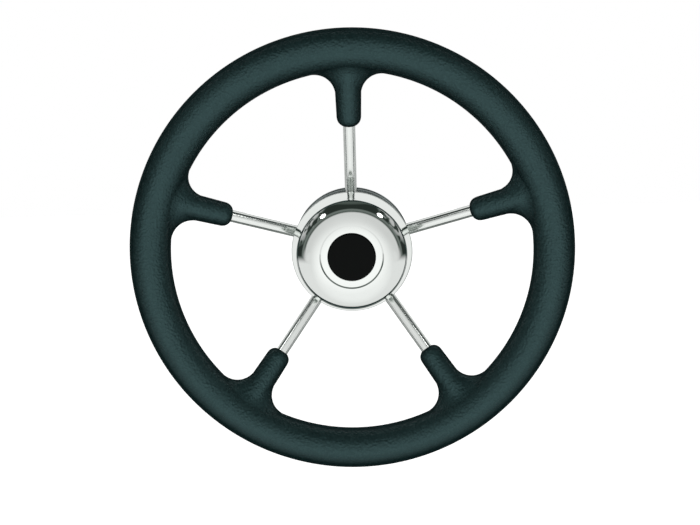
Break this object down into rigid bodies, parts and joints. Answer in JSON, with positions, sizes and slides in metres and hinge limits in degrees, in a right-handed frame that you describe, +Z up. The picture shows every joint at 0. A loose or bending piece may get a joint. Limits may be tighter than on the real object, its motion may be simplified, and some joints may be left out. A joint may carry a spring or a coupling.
{
  "type": "stainless boat steering wheel",
  "caption": "Round steering wheel with a black moulded foam grip, slim polished rod spokes raked back to a deep round hub, a domed cap and a tapered shaft bore.",
  "frame": {"origin": "middle of the tapered shaft bore's mouth, at the hub's rear face", "axes": "+Y along the shaft's axis towards the helm, so the driver is on the -Y side; +Z up through spoke 1 and the keyway; +X to the driver's right"},
  "size_m": [0.343, 0.0737, 0.343],
  "materials": {
    "grip_foam": "matte, fine pebbled skin",
    "polished_steel": "polished",
    "turned_steel": "satin, turned",
    "raw_steel": "satin, as drawn",
    "seal_rubber": "satin",
    "badge_black": "gloss, domed"
  },
  "bodies": {
    "root": {"rim_grip": "grip_foam", "rim_core": "raw_steel", "spoke_1": "polished_steel", "spoke_2": "polished_steel", "spoke_3": "polished_steel", "spoke_4": "polished_steel", "spoke_5": "polished_steel", "rear_plate": "polished_steel", "hub_drum": "polished_steel", "hub_boss": "turned_steel", "front_ring": "polished_steel", "hub_cap": "polished_steel", "cap_seal": "seal_rubber", "badge": "badge_black"}
  },
  "joints": []
}
